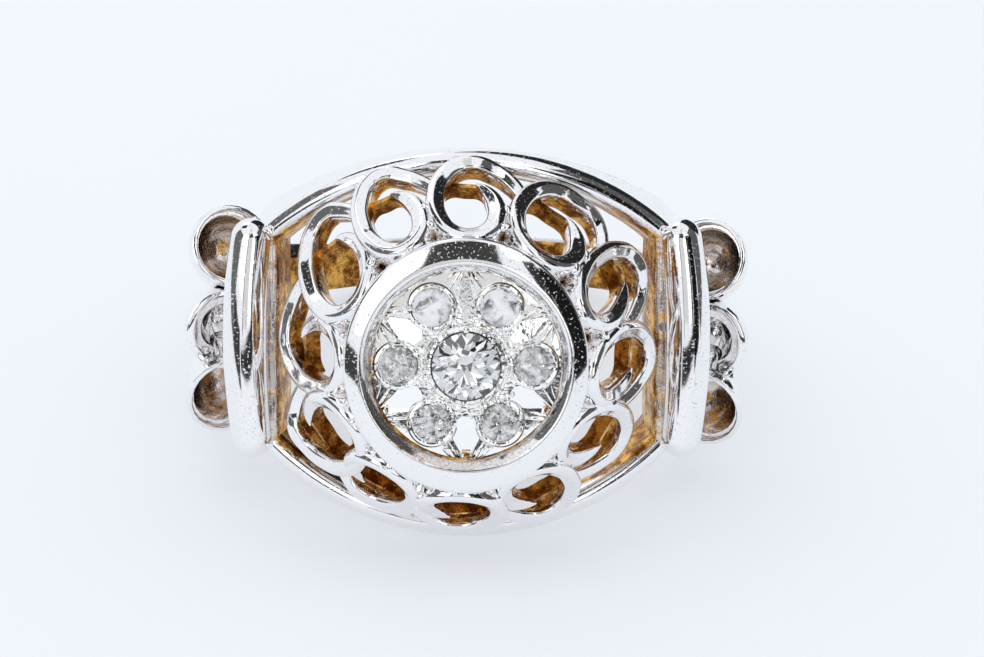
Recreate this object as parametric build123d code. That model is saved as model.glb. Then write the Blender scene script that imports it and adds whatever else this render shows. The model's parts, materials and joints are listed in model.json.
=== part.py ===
from build123d import *
import math
import os

# Domed openwork ring, laid on its side. Lengths in millimetres, angles in degrees.
# It is built upright first: the finger axis is Z, the crown faces -Y and X runs across
# the crown. At the end the whole ring is tipped onto the surface that it lies on.

# Hoop
finger_radius = 8.5
band_wall = 1.25
band_half_width = 0.85
band_start_angle = 100.0
band_round = 0.3
liner_wall = 0.6
liner_inset = 0.35

# Gadroons: three round flutes on each shoulder, open at the crown end
mouth_angle = 62.0
flute_radius = 1.45
flute_spacing = 2.92
flute_lift = 0.4
rim_wall = 0.3
cavity_stations = 2

# Gallery frame: two bowed rails joined by two straight side plates
frame_half_width = 7.6
frame_half_length = 7.55
rail_bow_radius = 11.3
rail_wall = 0.9
side_wall = 0.5
frame_rise = 1.05
frame_arch_radius = 20.0
rail_bevel = 0.3

# Rolls: round bars across the shoulders, bowed forward, each on a shoulder block
roll_radius = 0.76
roll_length = 9.15
roll_clearance = 0.16
roll_drop = 0.4
roll_bow = 0.45
roll_offset = frame_half_width + roll_clearance + roll_radius
roll_height = finger_radius - roll_drop
shoulder_half_length = 4.3
shoulder_sink = 0.5
shoulder_depth = 2.7
shoulder_tuck = 0.3

# Bezel
crown_rise = 5.3
crown_height = finger_radius + crown_rise
bezel_half_width = 4.68
bezel_half_length = 4.95
bezel_depth = 1.8
bezel_round = 0.35
bezel_lip = 0.12
ledge_width = 0.45

# Star plate set in the bezel
plate_radius = 3.87
plate_recess = 0.45
plate_thickness = 0.8
plate_gap = 0.04

# Stones
centre_stone_radius = 1.3
side_stone_radius = 0.73
side_stone_ring = 2.58
side_stone_count = 6
stone_gap = 0.03
centre_stone_rise = 0.3
side_stone_rise = 0.12
table_share = 0.58
crown_slope = 33.0
pavilion_slope = 41.0
star_slope = 20.0
girdle_share = 0.08
facet_count = 8

# Grains and bright cuts of the star
grain_radius = 0.16
grain_top_radius = 0.09
grain_height = 0.14
grains_per_stone = 4
cut_ring = 2.15
cut_radius = 0.5
cut_raise = 0.3
cut_taper = 3.6
groove_ring = 3.25
groove_offset = 0.52
groove_length = 1.1
groove_width = 0.2
groove_splay = 15.0

# Scrolls between the bezel and the frame
scroll_wire = 0.85
scroll_depth = 1.0
scroll_drop = 0.3
scroll_stand = 0.2
bezel_bite = 0.2
solder_bite = 0.16
arm_wire = 0.73
arm_dip = 16.0
arm_sink = 0.06

# One row for each scroll, clockwise from the upper left. The angle is that of its middle
# round the bezel. The shares are of an even division of the circle, of the bezel's radius
# and of the radius at which the middle of the frame's wall lies.
scroll_columns = ("angle", "width_share", "inner_share", "outer_share")
scroll_rows = (
    (146.0, 1.10, 1.00, 0.97),
    (120.0, 1.00, 1.00, 1.06),
    (89.0, 1.04, 1.00, 1.07),
    (56.0, 1.06, 1.02, 1.00),
    (27.0, 1.02, 1.10, 0.95),
    (-2.0, 0.98, 1.06, 1.01),
    (-32.0, 0.97, 1.02, 0.90),
    (-61.0, 1.04, 1.00, 1.01),
    (-91.0, 1.08, 1.06, 1.06),
    (-124.0, 1.04, 1.04, 1.00),
    (-152.0, 1.00, 1.05, 0.94),
    (179.0, 1.08, 1.03, 1.01),
)

# The run of a scroll's arm, which comes from under the next scroll and joins the oval loop
# at its outer end. Across and outward are shares of the loop's half width and half length.
arm_columns = ("across", "outward")
arm_rows = (
    (1.55, 0.76),
    (0.85, 0.95),
    (0.00, 1.00),
)

# One row for each station of the gadroons, back from the mouths. The angle is measured
# round the hoop, and the shares are of the sizes at the mouth.
flute_columns = ("angle", "radius_share", "spacing_share", "lift_share")
flute_rows = (
    (0.0, 1.00, 1.00, 1.0),
    (12.0, 0.80, 0.64, 1.7),
    (28.0, 0.60, 0.42, 1.6),
    (48.0, 0.50, 0.25, 0.9),
    (68.0, 0.44, 0.13, 0.4),
    (88.0, 0.42, 0.07, -0.2),
)


def rows(columns, table):
    return [dict(zip(columns, row)) for row in table]


def finger_hole():
    return Cylinder(finger_radius, 4 * frame_half_length)


def facing_crown(height, across=0, along=0):
    """Plane that faces out of the crown, its X across the ring and its Y up the finger axis."""
    return Plane(origin=(across, -height, along), x_dir=(1, 0, 0), z_dir=(0, -1, 0))


def hoop_plane(angle, radius, offset, side):
    """Plane square to the hoop, at an angle from the crown, with X outward."""
    turn = math.radians(angle)
    origin = (side * radius * math.sin(turn), -radius * math.cos(turn), offset)
    outward = (side * math.sin(turn), -math.cos(turn), 0)
    along = (side * math.cos(turn), math.sin(turn), 0)
    return Plane(origin=origin, x_dir=outward, z_dir=along)


def flute(side, lane, wall, stations):
    """One gadroon, lofted through circles. A wall makes it the hollow inside one."""
    sections = []
    for row in stations:
        radius = flute_radius * row["radius_share"]
        centre = finger_radius + radius + flute_lift * row["lift_share"]
        offset = lane * flute_spacing * row["spacing_share"]
        plane = hoop_plane(mouth_angle + row["angle"], centre, offset, side)
        sections.append(plane * Circle(radius - wall))
    return loft(sections)


def gadroons(side):
    stations = rows(flute_columns, flute_rows)
    solid = Part()
    for lane in (-1, 0, 1):
        solid += flute(side, lane, 0, stations)
    for lane in (-1, 0, 1):
        solid -= flute(side, lane, rim_wall, stations[:cavity_stations])
    return solid


def liner():
    """Wall of the finger hole under the gadroons, which narrows towards the back with them."""
    front = -finger_radius * math.cos(math.radians(mouth_angle))
    edge = [(-roll_height, flute_spacing), (front, flute_spacing)]
    for row in rows(flute_columns, flute_rows)[1:]:
        back = -finger_radius * math.cos(math.radians(mouth_angle + row["angle"]))
        reach = flute_spacing * row["spacing_share"] + flute_radius * row["radius_share"]
        edge.append((back, reach - liner_inset))
    mirrored = [(back, -reach) for back, reach in reversed(edge)]
    outline = make_face(Polyline(edge + mirrored, close=True))
    side_view = extrude(Plane.YZ * outline, 2 * finger_radius, both=True)
    return side_view & Cylinder(finger_radius + liner_wall, 4 * frame_half_length)


def band():
    """Plain back of the hoop."""
    profile = Rectangle(band_wall, 2 * band_half_width)
    profile = fillet(profile.vertices().group_by(Axis.X)[-1], band_round)
    section = Plane.XZ * Pos(finger_radius + band_wall / 2, 0) * profile
    sweep_angle = 360 - 2 * band_start_angle
    return Rot(0, 0, band_start_angle - 90) * revolve(section, Axis.Z, revolution_arc=sweep_angle)


def shoulder(side):
    """Block under a roll, between the side plate and the mouths of the gadroons."""
    inner = frame_half_width - side_wall
    outer = roll_offset + roll_radius - shoulder_tuck
    middle = roll_height - shoulder_sink - shoulder_depth / 2
    block = Box(outer - inner, shoulder_depth, 2 * shoulder_half_length)
    return Pos(side * (inner + outer) / 2, -middle, 0) * block


def roll(side):
    half = roll_length / 2 - roll_radius
    start = (side * roll_offset, roll_bow - roll_height, -half)
    middle = (side * roll_offset, -roll_height, 0)
    end = (side * roll_offset, roll_bow - roll_height, half)
    path = ThreePointArc(start, middle, end)
    bar = sweep(Plane(origin=path @ 0, z_dir=path % 0) * Circle(roll_radius), path=path)
    return bar + Pos(*start) * Sphere(roll_radius) + Pos(*end) * Sphere(roll_radius)


def barrel(inset_along=0, inset_across=0):
    """Outline of the gallery seen from the front: two arcs cut off by two straight sides."""
    bow = Circle(rail_bow_radius - inset_along)
    shift = rail_bow_radius - frame_half_length
    lens = Pos(0, -shift) * bow & Pos(0, shift) * bow
    return lens & Rectangle(2 * (frame_half_width - inset_across), 4 * frame_half_length)


def frame_opening():
    return barrel(rail_wall, side_wall)


def inside_of_frame():
    return extrude(facing_crown(0) * frame_opening(), crown_height)


def gallery_frame():
    top = finger_radius + frame_rise
    wall = extrude(facing_crown(0) * (barrel() - frame_opening()), top)
    arch = Pos(0, frame_arch_radius - top, 0) * Cylinder(frame_arch_radius, 4 * frame_half_length)
    wall &= arch
    wall -= finger_hole()
    rim = [edge for edge in wall.edges() if is_rail_rim(edge)]
    return chamfer(rim, rail_bevel)


def frame_front(across):
    """Height of the frame's front at a distance across the ring from the middle."""
    arch_middle = finger_radius + frame_rise - frame_arch_radius
    return arch_middle + math.sqrt(frame_arch_radius**2 - across**2)


def frame_radius(angle):
    """Distance from the middle of the crown to the middle of the frame's wall."""
    turn = math.radians(angle)
    shift = rail_bow_radius - frame_half_length
    bow = rail_bow_radius - rail_wall / 2
    to_rail = math.sqrt(bow**2 - (shift * math.cos(turn)) ** 2) - shift * abs(math.sin(turn))
    to_side = (frame_half_width - side_wall / 2) / abs(math.cos(turn))
    return min(to_rail, to_side)


def is_rail_rim(edge):
    """The two outer front edges of the rails, where they curve over the arch."""
    middle = edge @ 0.5
    outer = abs(middle.Z) > frame_half_length - rail_wall / 2
    return outer and middle.Y < -finger_radius - frame_rise / 2


def bezel_radius(angle):
    turn = math.radians(angle)
    return 1 / math.hypot(math.cos(turn) / bezel_half_width, math.sin(turn) / bezel_half_length)


def plate_room():
    """The round space in the bezel that the star plate fills, open at the front."""
    depth = plate_recess + plate_thickness
    return extrude(facing_crown(crown_height - depth) * Circle(plate_radius + plate_gap), depth)


def bezel():
    outline = Ellipse(bezel_half_width, bezel_half_length)
    cup = extrude(facing_crown(crown_height - bezel_depth) * outline, bezel_depth)
    cup -= plate_room()
    through = facing_crown(crown_height - bezel_depth) * Circle(plate_radius - ledge_width)
    cup -= extrude(through, bezel_depth)
    front = cup.faces().sort_by(Axis.Y)[0]
    cup = fillet(front.outer_wire().edges(), bezel_round)
    front = cup.faces().sort_by(Axis.Y)[0]
    return fillet(front.inner_wires()[0].edges(), bezel_lip)


def scroll_plane(inner, outer):
    """Plane of a scroll's front: X runs clockwise, Y outward down the dome, Z out of it."""
    outward = (outer - inner).normalized()
    clockwise = outward.cross(Vector(0, -1, 0)).normalized()
    return Plane(origin=(inner + outer) * 0.5, x_dir=clockwise, z_dir=clockwise.cross(outward))


def standing(outline, plane):
    """A flat outline of wire given its depth, with its top on the plane."""
    return extrude(plane * Pos(0, 0, -scroll_depth) * outline, scroll_depth)


def scroll(angle, width_share, inner_share, outer_share):
    """Oval loop that spans from the bezel to the frame, with its arm to the next scroll."""
    turn = math.radians(angle)
    inner_radius = inner_share * bezel_radius(angle) - bezel_bite
    outer_radius = outer_share * frame_radius(angle)
    front = frame_front(outer_radius * math.cos(turn)) + scroll_stand
    away = Vector(math.cos(turn), 0, math.sin(turn))
    inner = away * inner_radius + Vector(0, scroll_drop - crown_height, 0)
    outer = away * outer_radius + Vector(0, -front, 0)
    pitch = math.pi * (inner_radius + outer_radius) / len(scroll_rows)
    half_wire = scroll_wire / 2
    half_width = width_share * pitch / 2 - half_wire + solder_bite
    half_length = (outer - inner).length / 2 - half_wire

    plane = scroll_plane(inner, outer)
    loop = Ellipse(half_width + half_wire, half_length + half_wire)
    loop -= Ellipse(half_width - half_wire, half_length - half_wire)
    run = rows(arm_columns, arm_rows)
    points = [(half_width * row["across"], half_length * row["outward"]) for row in run]
    arm = trace(ThreePointArc(*points), line_width=arm_wire)
    return standing(loop, plane) + standing(arm, plane * Pos(0, 0, -arm_sink) * Rot(0, arm_dip, 0))


def ring_mount():
    solid = band() + liner()
    for side in (-1, 1):
        solid += gadroons(side)
        solid += shoulder(side)
        solid += roll(side)
    solid -= inside_of_frame()
    solid += gallery_frame()
    solid -= finger_hole()
    solid += bezel()
    for row in rows(scroll_columns, scroll_rows):
        solid += scroll(**row) - plate_room()
    return solid


def gem(radius):
    """Brilliant with a table, mains and star facets over a girdle, and a pointed back.

    The ridges between the facets of the back start at the full radius.
    """
    girdle = radius * girdle_share
    crown = radius * (1 - table_share) * math.tan(math.radians(crown_slope))
    pavilion = radius * math.tan(math.radians(pavilion_slope))
    outline = RegularPolygon(radius, 2 * facet_count)
    stone = extrude(Pos(0, 0, crown + girdle / 2) * outline, -(crown + girdle + pavilion))
    star_radius = radius * (table_share + 1) / 2
    star_height = girdle / 2 + crown / 2
    pavilion_radius = radius * math.cos(math.pi / facet_count)
    for step in range(facet_count):
        turn = 360 * step / facet_count
        half_turn = turn + 180 / facet_count
        stone = shave(stone, turn, crown_slope, radius, girdle / 2)
        stone = shave(stone, half_turn, star_slope, star_radius, star_height)
        stone = shave(stone, turn, 180 - pavilion_slope, pavilion_radius, -girdle / 2)
    return stone


def shave(stone, turn, slope, radius, height):
    """Cut away what lies outside a facet that passes a radius at a height."""
    facet = Rot(0, 0, turn) * Pos(radius, 0, height) * Rot(0, slope, 0)
    cutter = facet * Pos(0, 0, 2 * radius) * Box(12 * radius, 12 * radius, 4 * radius)
    return stone - cutter


def seat(radius):
    """Room for a stone and its gap, with a hole of half its width through to the back."""
    room = radius + stone_gap
    half_girdle = radius * girdle_share / 2 + stone_gap
    depth = room * math.tan(math.radians(pavilion_slope))
    well = Pos(0, 0, room / 2 - half_girdle) * Cylinder(room, room)
    cone = Pos(0, 0, -half_girdle - depth / 2) * Cone(0, room, depth)
    back = Pos(0, 0, -plate_thickness) * Cylinder(radius / 2, 2 * plate_thickness)
    return well + cone + back


def plate_top():
    return crown_height - plate_recess


def side_stone_place(number):
    turn = math.radians(360 * number / side_stone_count)
    across = side_stone_ring * math.cos(turn)
    along = side_stone_ring * math.sin(turn)
    return facing_crown(plate_top() + side_stone_rise, across, along)


def centre_stone_place():
    return facing_crown(plate_top() + centre_stone_rise)


def grain_places():
    """Where the grains stand: round each side stone, and round the centre stone."""
    reach = side_stone_radius + stone_gap + grain_radius
    centre_reach = centre_stone_radius + stone_gap + grain_radius
    places = []
    for number in range(side_stone_count):
        turn = 360 * number / side_stone_count
        for grain in range(grains_per_stone):
            spot = Rot(0, 0, turn + 360 * (grain + 0.5) / grains_per_stone) * Pos(reach, 0)
            places.append(Rot(0, 0, turn) * Pos(side_stone_ring, 0) * Rot(0, 0, -turn) * spot)
    for number in range(side_stone_count):
        turn = 360 * (number + 0.5) / side_stone_count
        places.append(Rot(0, 0, turn) * Pos(centre_reach, 0))
    return places


def bright_cut():
    """Scooped drop between two side stones that tapers to the rim, with a V groove on each side.

    The drop's cutter stands above the plate, so that it takes off only a shallow scoop.
    """
    head = Sphere(cut_radius)
    taper = Pos(cut_taper / 2, 0) * Rot(0, 90, 0) * Cone(cut_radius, 0, cut_taper)
    cut = Pos(cut_ring, 0, cut_raise) * (head + taper)
    groove = Rot(45, 0, 0) * Box(groove_length, groove_width, groove_width)
    for side in (-1, 1):
        place = Pos(groove_ring, side * groove_offset)
        cut += place * Rot(0, 0, side * groove_splay) * groove
    return cut


def grain():
    """Small bead of metal, the lower half of it sunk in the plate."""
    return Cone(grain_radius, grain_top_radius, 2 * grain_height)


def star_plate():
    face = facing_crown(plate_top())
    thickness = plate_thickness - plate_gap
    plate = extrude(facing_crown(plate_top() - thickness) * Circle(plate_radius), thickness)
    for place in grain_places():
        plate += face * place * grain()
    plate -= centre_stone_place() * seat(centre_stone_radius)
    for number in range(side_stone_count):
        plate -= side_stone_place(number) * seat(side_stone_radius)
        plate -= face * Rot(0, 0, 360 * (number + 0.5) / side_stone_count) * bright_cut()
    return plate


def lowest(shape, tilt):
    return (Rot(-tilt, 0, 0) * shape).bounding_box().min.Z


def resting_tilt():
    """How far the crown tips up once a rail and the back of the hoop touch the surface."""
    rail = gallery_frame()
    hoop = band()
    low = 0.0
    high = 45.0
    while high - low > 0.01:
        tilt = (low + high) / 2
        if lowest(rail, tilt) < lowest(hoop, tilt):
            low = tilt
        else:
            high = tilt
    return low


def ring():
    pieces = {"ring_mount": ring_mount(), "star_plate": star_plate()}
    pieces["centre_stone"] = centre_stone_place() * gem(centre_stone_radius)
    for number in range(side_stone_count):
        pieces[f"side_stone_{number + 1}"] = side_stone_place(number) * gem(side_stone_radius)
    return pieces


def laid_down(pieces):
    """The ring as it lies, with its middle over the origin and its lowest point on Z 0."""
    turn = Rot(-resting_tilt(), 0, 0)
    box = (turn * pieces["ring_mount"]).bounding_box()
    shift = Pos(-box.center().X, -box.center().Y, -box.min.Z)
    return {name: shift * turn * solid for name, solid in pieces.items()}


os.makedirs("parts", exist_ok=True)
for name, solid in laid_down(ring()).items():
    export_step(solid, f"parts/{name}.step")
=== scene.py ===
import json
import random
from math import asin, atan2, cos, hypot, pi, radians, sin, sqrt, tan

import bpy
from mathutils import Matrix, Vector


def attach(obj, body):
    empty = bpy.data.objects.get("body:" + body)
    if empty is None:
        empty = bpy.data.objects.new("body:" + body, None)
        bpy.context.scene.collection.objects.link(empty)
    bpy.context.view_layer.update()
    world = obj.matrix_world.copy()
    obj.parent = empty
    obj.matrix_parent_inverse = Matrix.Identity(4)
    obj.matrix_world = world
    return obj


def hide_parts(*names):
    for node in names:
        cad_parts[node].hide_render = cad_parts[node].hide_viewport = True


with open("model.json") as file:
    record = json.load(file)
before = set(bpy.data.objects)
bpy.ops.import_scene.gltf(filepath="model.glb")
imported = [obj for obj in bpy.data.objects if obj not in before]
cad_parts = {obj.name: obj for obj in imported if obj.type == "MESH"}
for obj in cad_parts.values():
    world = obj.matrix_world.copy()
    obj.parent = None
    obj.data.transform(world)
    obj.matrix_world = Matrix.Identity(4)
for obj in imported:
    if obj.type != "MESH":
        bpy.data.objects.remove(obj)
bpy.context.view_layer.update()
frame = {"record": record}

mount = frame["record"]["mounts"][0]
restTilt = atan2(mount["axis"][1], mount["axis"][2])  # how far the ring leans back as it lies
millimetre = 0.001
fingerHole = 8.5  # radius of the bore
weldGap = 0.0005
# every piece is modelled upright in millimetres: finger axis Z, crown towards -Y
ringToRow = (
    Matrix.Translation(mount["pos_m"])
    @ Matrix.Rotation(-restTilt, 4, "X")
    @ Matrix.Scale(millimetre, 4)
)
crownFacing = Matrix.Rotation(pi / 2, 4, "X")  # a part drawn flat, +Z up, turns to face out of the crown
print("frame loaded, the ring leans back", round(restTilt * 180 / pi, 2), "degrees")


# Small helpers for the operators

def editMode():
    bpy.ops.object.mode_set(mode="EDIT")


def objectMode():
    bpy.ops.object.mode_set(mode="OBJECT")


def deselectAll():
    bpy.ops.object.select_all(action="DESELECT")


def activate(piece):
    deselectAll()
    piece.select_set(True)
    bpy.context.view_layer.objects.active = piece
    return piece


def applyPlace(piece):
    activate(piece)
    bpy.ops.object.transform_apply(location=True, rotation=True, scale=True)
    return piece


def placeBy(piece, matrix):
    piece.matrix_world = matrix @ piece.matrix_world
    return applyPlace(piece)


def applyModifier(piece, kind, **settings):
    activate(piece)
    modifier = piece.modifiers.new(kind.lower(), kind)
    for name, value in settings.items():
        setattr(modifier, name, value)
    bpy.ops.object.modifier_apply(modifier=modifier.name)


def cutWith(piece, cutter, operation="DIFFERENCE"):
    applyModifier(piece, "BOOLEAN", object=cutter, operation=operation, solver="EXACT")
    bpy.data.objects.remove(cutter)
    return piece


def joinAll(pieces):
    deselectAll()
    for piece in pieces:
        piece.select_set(True)
    bpy.context.view_layer.objects.active = pieces[0]
    if len(pieces) > 1:
        bpy.ops.object.join()
    return pieces[0]


def outwardNormals(piece):
    activate(piece)
    editMode()
    bpy.ops.mesh.select_all(action="SELECT")
    bpy.ops.mesh.remove_doubles(threshold=weldGap)
    bpy.ops.mesh.normals_make_consistent(inside=False)
    objectMode()
    return piece


def duplicate(piece):
    activate(piece)
    bpy.ops.object.duplicate(linked=False)
    return bpy.context.object


def mirrorAcross(piece):
    twin = duplicate(piece)
    twin.scale.x = -1
    applyPlace(twin)
    return outwardNormals(twin)


def drawCurve(points, handles="AUTOMATIC", closed=False):
    deselectAll()
    bpy.ops.curve.primitive_bezier_curve_add()
    curve = bpy.context.object
    editMode()
    bpy.ops.curve.select_all(action="SELECT")
    bpy.ops.curve.delete(type="VERT")
    for point in points:
        bpy.ops.curve.vertex_add(location=point)
    bpy.ops.curve.select_all(action="SELECT")
    if closed:
        bpy.ops.curve.cyclic_toggle()
    bpy.ops.curve.handle_type_set(type=handles)
    objectMode()
    return curve


def profileCurve(corners, smooth=True, resolution=4):
    # closed outline of a bar's section: +X is right of the way it runs, +Y is up
    handles = "AUTOMATIC" if smooth else "VECTOR"
    outline = drawCurve([(x, y, 0) for x, y in corners], handles, closed=True)
    outline.data.dimensions = "2D"
    outline.data.fill_mode = "NONE"
    outline.data.resolution_u = resolution if smooth else 1
    return outline


def sweep(points, profile, resolution=6):
    # points are (x, y, z, share of the profile); the profile is an outline, or a radius for a round bar
    path = drawCurve([point[:3] for point in points])
    path.data.dimensions = "3D"
    path.data.twist_mode = "Z_UP"
    path.data.resolution_u = resolution
    path.data.use_fill_caps = True
    spline = path.data.splines[0]
    spline.radius_interpolation = "CARDINAL"
    for knot, point in zip(spline.bezier_points, points):
        knot.radius = point[3]
    if isinstance(profile, bpy.types.Object):
        path.data.bevel_mode = "OBJECT"
        path.data.bevel_object = profile
    else:
        path.data.bevel_depth = profile
        path.data.bevel_resolution = 10
    activate(path)
    bpy.ops.object.convert(target="MESH")
    return outwardNormals(bpy.context.object)


def drawLine(points):
    # a mesh of joined points, all selected, left in edit mode
    deselectAll()
    bpy.ops.mesh.primitive_plane_add(size=1)
    piece = bpy.context.object
    editMode()
    bpy.ops.mesh.select_all(action="SELECT")
    bpy.ops.mesh.merge(type="CENTER")
    bpy.ops.transform.translate(value=points[0])
    for before, after in zip(points, points[1:]):
        move = [end - start for start, end in zip(before, after)]
        bpy.ops.mesh.extrude_vertices_move(TRANSFORM_OT_translate={"value": move})
    bpy.ops.mesh.select_all(action="SELECT")
    return piece


def lathe(corners, steps, turn=2 * pi, closed=False):
    # spins a line of (radius, height) corners round Z; a closed line makes a ring
    run = list(corners) + ([corners[0]] if closed else [])
    piece = drawLine([(radius, 0, height) for radius, height in run])
    bpy.ops.mesh.remove_doubles(threshold=weldGap)
    bpy.ops.mesh.spin(steps=steps, angle=turn, center=(0, 0, 0), axis=(0, 0, 1))
    bpy.ops.mesh.select_all(action="SELECT")
    bpy.ops.mesh.remove_doubles(threshold=weldGap)
    bpy.ops.mesh.fill_holes(sides=0)
    objectMode()
    return outwardNormals(piece)


def slab(corners, low, high):
    # a flat outline of (x, y) corners, filled and pulled up from low to high
    piece = drawLine([(x, y, low) for x, y in corners])
    bpy.ops.mesh.edge_face_add()
    pullFaces((0, 0, high - low))
    objectMode()
    return outwardNormals(piece)


def pullFaces(move):
    bpy.ops.mesh.extrude_region_move(TRANSFORM_OT_translate={"value": move})


def shiftFaces(move):
    bpy.ops.transform.translate(value=move)


def insetFaces(width):
    bpy.ops.mesh.inset(thickness=width, depth=0)


def selectFaces(piece, rule):
    # goes into edit mode with just the faces that the rule picks
    activate(piece)
    editMode()
    bpy.ops.mesh.select_mode(type="FACE")
    bpy.ops.mesh.select_all(action="DESELECT")
    objectMode()
    for face in piece.data.polygons:
        face.select = rule(face)
    editMode()


def drum(radius, length, sides=192):
    deselectAll()
    bpy.ops.mesh.primitive_cylinder_add(vertices=sides, radius=radius, depth=length)
    return bpy.context.object


def box(middle, size):
    deselectAll()
    bpy.ops.mesh.primitive_cube_add(size=1, location=middle, scale=size)
    return applyPlace(bpy.context.object)


def bead(place, radius, turns, shares, fineness):
    deselectAll()
    bpy.ops.mesh.primitive_ico_sphere_add(
        subdivisions=fineness, radius=radius, location=place, rotation=turns, scale=shares
    )
    return applyPlace(bpy.context.object)


def inBore(point, gap=0.01):
    return hypot(point.x, point.y) < fingerHole + gap


def markInside(piece, rule):
    # how far each point lies in the unplated inside of the casting, from 0 to 1
    layer = piece.data.attributes.new("inside", "FLOAT", "POINT")
    for point, mark in zip(piece.data.vertices, layer.data):
        mark.value = max(0.0, min(1.0, rule(point.co, point.normal)))
    return piece


def finishPiece(piece, name, material, node, smooth=35):
    piece.name = name
    piece.data.name = name
    placeBy(piece, ringToRow)
    piece.data.materials.clear()
    piece.data.materials.append(material)
    activate(piece)
    bpy.ops.object.shade_smooth_by_angle(angle=radians(smooth))
    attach(piece, "root")
    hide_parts(node)
    return piece


def bothSides(piece):
    return joinAll([piece, mirrorAcross(piece)])


# Materials: sums on sockets are written as Python expressions

class Tone:
    # what comes out of a node, to be added up, mixed or plugged in
    def __init__(self, finish, socket):
        self.finish = finish
        self.socket = socket

    def sum(self, operation, first, second):
        return self.finish.node("ShaderNodeMath", {"operation": operation}, {0: first, 1: second})

    def __add__(self, other):
        return self.sum("ADD", self, other)

    def __radd__(self, other):
        return self.sum("ADD", other, self)

    def __sub__(self, other):
        return self.sum("SUBTRACT", self, other)

    def __rsub__(self, other):
        return self.sum("SUBTRACT", other, self)

    def __mul__(self, other):
        return self.sum("MULTIPLY", self, other)

    def __rmul__(self, other):
        return self.sum("MULTIPLY", other, self)

    def between(self, low, high):
        # soft step from 0 at low to 1 at high
        return self.finish.node(
            "ShaderNodeMapRange", {"interpolation_type": "SMOOTHSTEP"}, {0: self, 1: low, 2: high}
        )


class Finish:
    def __init__(self, name):
        self.material = bpy.data.materials.new(name)
        self.material.use_nodes = True
        self.tree = self.material.node_tree
        self.tree.nodes.clear()
        place = self.node("ShaderNodeTexCoord", output="Object")
        # ring millimetres, upright, for the patterns
        self.place = self.node(
            "ShaderNodeMapping",
            {"vector_type": "TEXTURE"},
            {0: place, 1: mount["pos_m"], 2: (-restTilt, 0, 0), 3: (millimetre,) * 3},
        )

    def node(self, kind, settings=None, sockets=None, output=0):
        node = self.tree.nodes.new(kind)
        for name, value in (settings or {}).items():
            setattr(node, name, value)
        for name, value in (sockets or {}).items():
            if isinstance(value, Tone):
                self.tree.links.new(value.socket, node.inputs[name])
            else:
                node.inputs[name].default_value = value
        return Tone(self, node.outputs[output])

    def noise(self, scale, detail=2.0, roughness=0.5, distortion=0.0):
        return self.node(
            "ShaderNodeTexNoise",
            None,
            {"Vector": self.place, "Scale": scale, "Detail": detail,
             "Roughness": roughness, "Distortion": distortion},
        )

    def cells(self, scale, feature="F1", randomness=1.0):
        return self.node(
            "ShaderNodeTexVoronoi",
            {"feature": feature},
            {"Vector": self.place, "Scale": scale, "Randomness": randomness},
        )

    def attribute(self, name):
        return self.node("ShaderNodeAttribute", {"attribute_name": name}, output="Fac")

    def blend(self, mask, first, second):
        return self.node("ShaderNodeMix", {"data_type": "RGBA"}, {0: mask, 6: first, 7: second}, output=2)

    def bump(self, height, distance, strength=1.0, normal=None):
        sockets = {"Height": height, "Distance": distance, "Strength": strength}
        if normal:
            sockets["Normal"] = normal
        return self.node("ShaderNodeBump", None, sockets)

    def shade(self, sockets):
        return self.node("ShaderNodeBsdfPrincipled", None, sockets)

    def done(self, surface):
        output = self.tree.nodes.new("ShaderNodeOutputMaterial")
        self.tree.links.new(surface.socket, output.inputs["Surface"])
        return self.material


whiteGold = {
    "polished": (0.925, 0.915, 0.92, 1),
    "handled": (0.66, 0.59, 0.54, 1),   # thin plating near the bare inside
    "bare": (0.92, 0.52, 0.13, 1),      # yellow cast metal where the plating has not reached
    "bareDeep": (0.22, 0.08, 0.013, 1),
    "roughness": 0.06, "bareRoughness": 0.1, "rubbedRoughness": 0.08, "hazeRoughness": 0.06,
    "pitRoughness": 0.25,
    # sizes are features per millimetre, depths are metres
    "patchSize": 1.7, "toneSize": 1.6, "pitSize": 11.0, "waveSize": 0.9, "grainSize": 5.0,
    "pitDepth": 7e-6, "waveDepth": 9e-6, "grainDepth": 2.5e-5,
}


def mountFinish(name):
    look = whiteGold
    finish = Finish(name)
    inside = finish.attribute("inside")
    patch = finish.noise(look["patchSize"], 4.0, 0.6)
    speck = finish.noise(look["pitSize"], 3.0, 0.65)
    bare = (inside + (patch - 0.5) * 0.9).between(0.42, 0.62)
    tone = finish.noise(look["toneSize"], 4.0, 0.7).between(0.40, 0.62)
    thin = (inside + (speck - 0.5) * 0.8).between(0.05, 0.5)
    plated = finish.blend(thin, look["polished"], look["handled"])
    colour = finish.blend(bare, plated, finish.blend(tone, look["bareDeep"], look["bare"]))
    rubbed = (inside + (speck - 0.5) * 0.6).between(0.15, 0.5)
    haze = speck.between(0.5, 0.8)
    pits = finish.noise(look["pitSize"], 2.0, 0.5).between(0.62, 0.78)  # sparse, from the polishing wheel
    roughness = (
        look["roughness"] + bare * look["bareRoughness"] + rubbed * look["rubbedRoughness"]
        + haze * look["hazeRoughness"] + pits * look["pitRoughness"]
    )
    waves = finish.bump(finish.noise(look["waveSize"], 1.0, 0.4), look["waveDepth"])
    casting = finish.bump(finish.noise(look["grainSize"], 4.0, 0.7) * bare, look["grainDepth"], 1.0, waves)
    normal = finish.bump(pits, look["pitDepth"], 1.0, casting)
    return finish.done(finish.shade(
        {"Base Color": colour, "Metallic": 1.0, "Roughness": roughness, "Normal": normal}
    ))


mountMaterial = mountFinish("white_gold_polish")
print("mount material made")


def finishMount(piece, name, smooth=35):
    return finishPiece(piece, name, mountMaterial, "ring_mount", smooth)


# Gallery frame: two bowed rails and two side plates

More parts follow.
